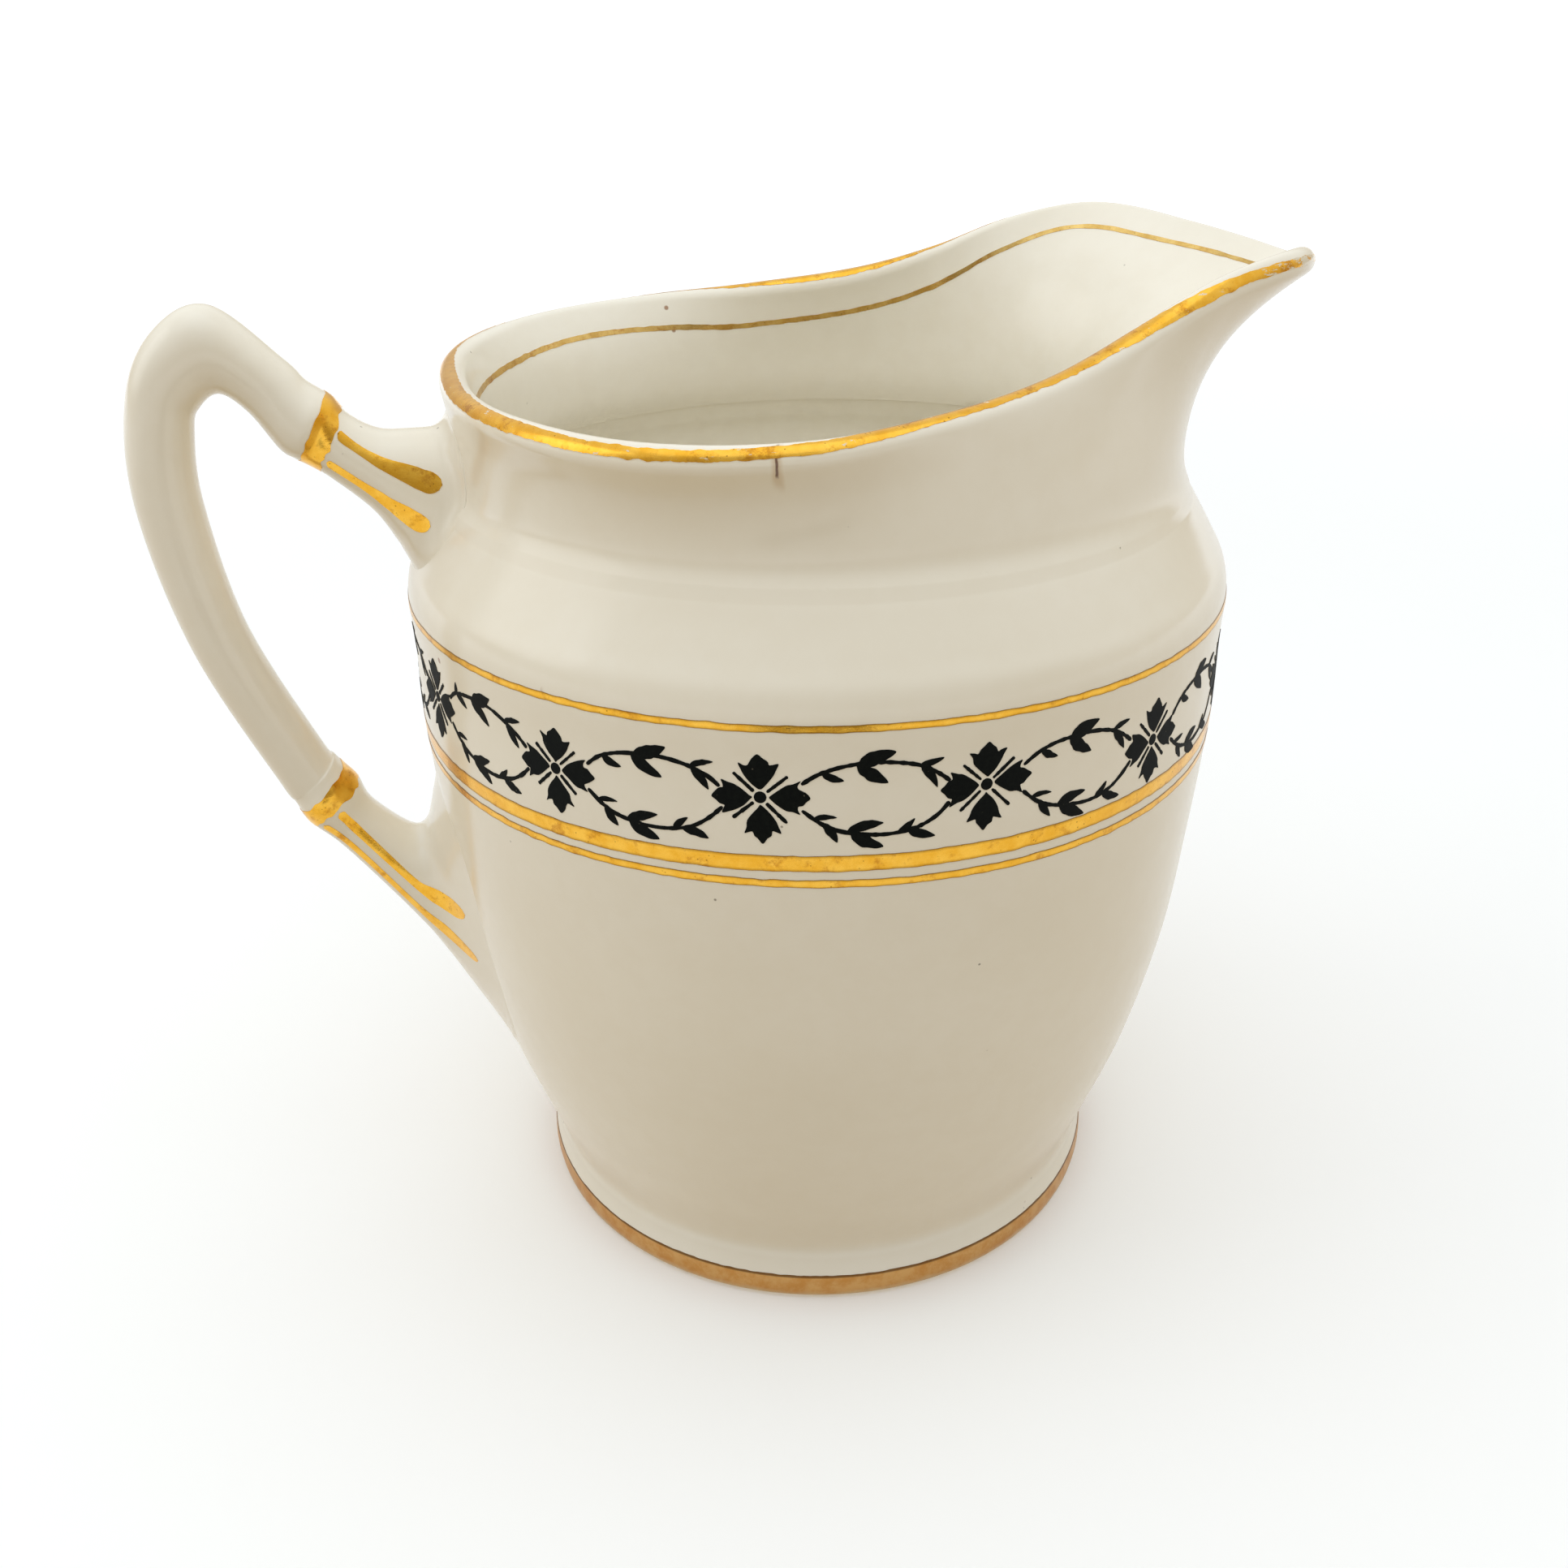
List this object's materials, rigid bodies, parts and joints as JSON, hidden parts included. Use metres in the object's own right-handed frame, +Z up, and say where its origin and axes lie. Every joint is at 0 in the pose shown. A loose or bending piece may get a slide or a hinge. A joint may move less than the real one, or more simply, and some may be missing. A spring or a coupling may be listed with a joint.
{
  "type": "cream jug",
  "caption": "Footed porcelain cream jug with a swelling belly, a necked mouth pulled into a pouring spout, a loop handle and gilt bands.",
  "frame": {"origin": "on the resting plane of the foot ring, under the middle of the whole jug's length from the back of the handle to the tip of the spout", "axes": "+Z up; +X along the jug's length from the handle to the pouring spout; +Y across the jug"},
  "size_m": [0.0991, 0.0708, 0.0875],
  "materials": {
    "porcelain": "glossy clear glaze over ivory-white porcelain",
    "slip": "fired luting slip, hidden under the glaze",
    "gilding": "burnished bright gold, worn at the spout"
  },
  "bodies": {
    "root": {"body": "porcelain", "handle": "porcelain", "upper_slip_joint": "slip", "lower_slip_joint": "slip", "belly_band": "gilding", "belly_line": "gilding", "foot_band": "gilding", "inner_lip_line": "gilding", "lower_knuckle_gilding": "gilding", "lower_low_stroke_left": "gilding", "lower_low_stroke_right": "gilding", "lower_side_stroke_left": "gilding", "lower_side_stroke_right": "gilding", "rim_gilding": "gilding", "shoulder_line": "gilding", "upper_knuckle_gilding": "gilding", "upper_side_stroke_left": "gilding", "upper_side_stroke_right": "gilding", "upper_top_stroke_left": "gilding", "upper_top_stroke_right": "gilding", "upper_under_stroke": "gilding"}
  },
  "joints": []
}
